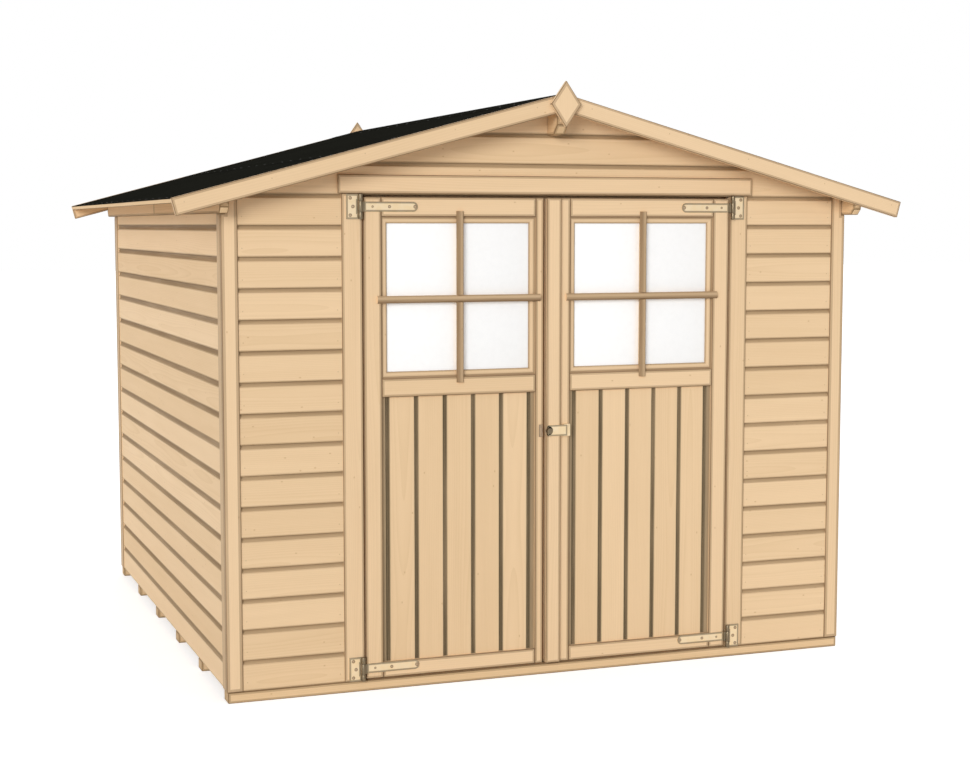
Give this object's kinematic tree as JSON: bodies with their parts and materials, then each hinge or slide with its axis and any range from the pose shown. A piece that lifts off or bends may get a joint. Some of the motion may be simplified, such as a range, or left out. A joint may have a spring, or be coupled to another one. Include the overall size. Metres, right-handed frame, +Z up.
{
  "type": "wooden garden shed",
  "caption": "Apex-roofed timber garden shed with horizontal board cladding, black felt roof and outward-opening glazed double doors in its gable end.",
  "frame": {"origin": "centre of the plan on the ground, at the underside of the bearers", "axes": "+X to the right seen from the front, doors facing -Y, +Z up"},
  "size_m": [2.914, 2.778, 2.25],
  "materials": {
    "cladding": "planed shiplap softwood, untreated",
    "trim_timber": "planed softwood, untreated",
    "framing_timber": "sawn softwood, untreated",
    "roof_felt": "black mineral felt",
    "glazing": "opal white styrene pane",
    "zinc_hardware": "yellow-passivated zinc plate"
  },
  "bodies": {
    "shed": {"bearers": "framing_timber", "floor_deck": "framing_timber", "front_wall_left": "cladding", "front_wall_right": "cladding", "front_gable": "cladding", "back_wall": "cladding", "back_gable": "cladding", "left_wall": "cladding", "right_wall": "cladding", "end_wall_studs": "framing_timber", "end_wall_plates": "framing_timber", "side_wall_studs": "framing_timber", "side_wall_plates": "framing_timber", "gable_rafters": "framing_timber", "front_corner_trims": "trim_timber", "back_corner_trims": "trim_timber", "side_corner_trims": "trim_timber", "left_door_post": "trim_timber", "right_door_post": "trim_timber", "header_board": "trim_timber", "eaves_purlins": "framing_timber", "ridge_purlin": "framing_timber", "left_roof_deck": "framing_timber", "right_roof_deck": "framing_timber", "left_roof_felt": "roof_felt", "right_roof_felt": "roof_felt", "left_barge_boards": "trim_timber", "right_barge_boards": "trim_timber", "finials": "trim_timber", "hinge_plates": "zinc_hardware"},
    "left_door": {"left_door_stiles": "trim_timber", "left_door_rails": "trim_timber", "left_door_panel": "cladding", "left_door_pane": "glazing", "left_door_beads": "trim_timber", "left_door_straps": "zinc_hardware", "latch_keeper": "zinc_hardware"},
    "right_door": {"right_door_stiles": "trim_timber", "right_door_rails": "trim_timber", "right_door_panel": "cladding", "right_door_pane": "glazing", "right_door_beads": "trim_timber", "right_door_straps": "zinc_hardware", "meeting_strip": "trim_timber", "latch_bar": "zinc_hardware"}
  },
  "joints": [
    {"name": "left_door_hinge", "type": "hinge", "parent": "shed", "child": "left_door", "pos_m": [-0.756, -1.273, 1], "axis": [0, 0, -1], "range_deg": [0, 150]},
    {"name": "right_door_hinge", "type": "hinge", "parent": "shed", "child": "right_door", "pos_m": [0.756, -1.273, 1], "axis": [0, 0, 1], "range_deg": [0, 150]}
  ]
}
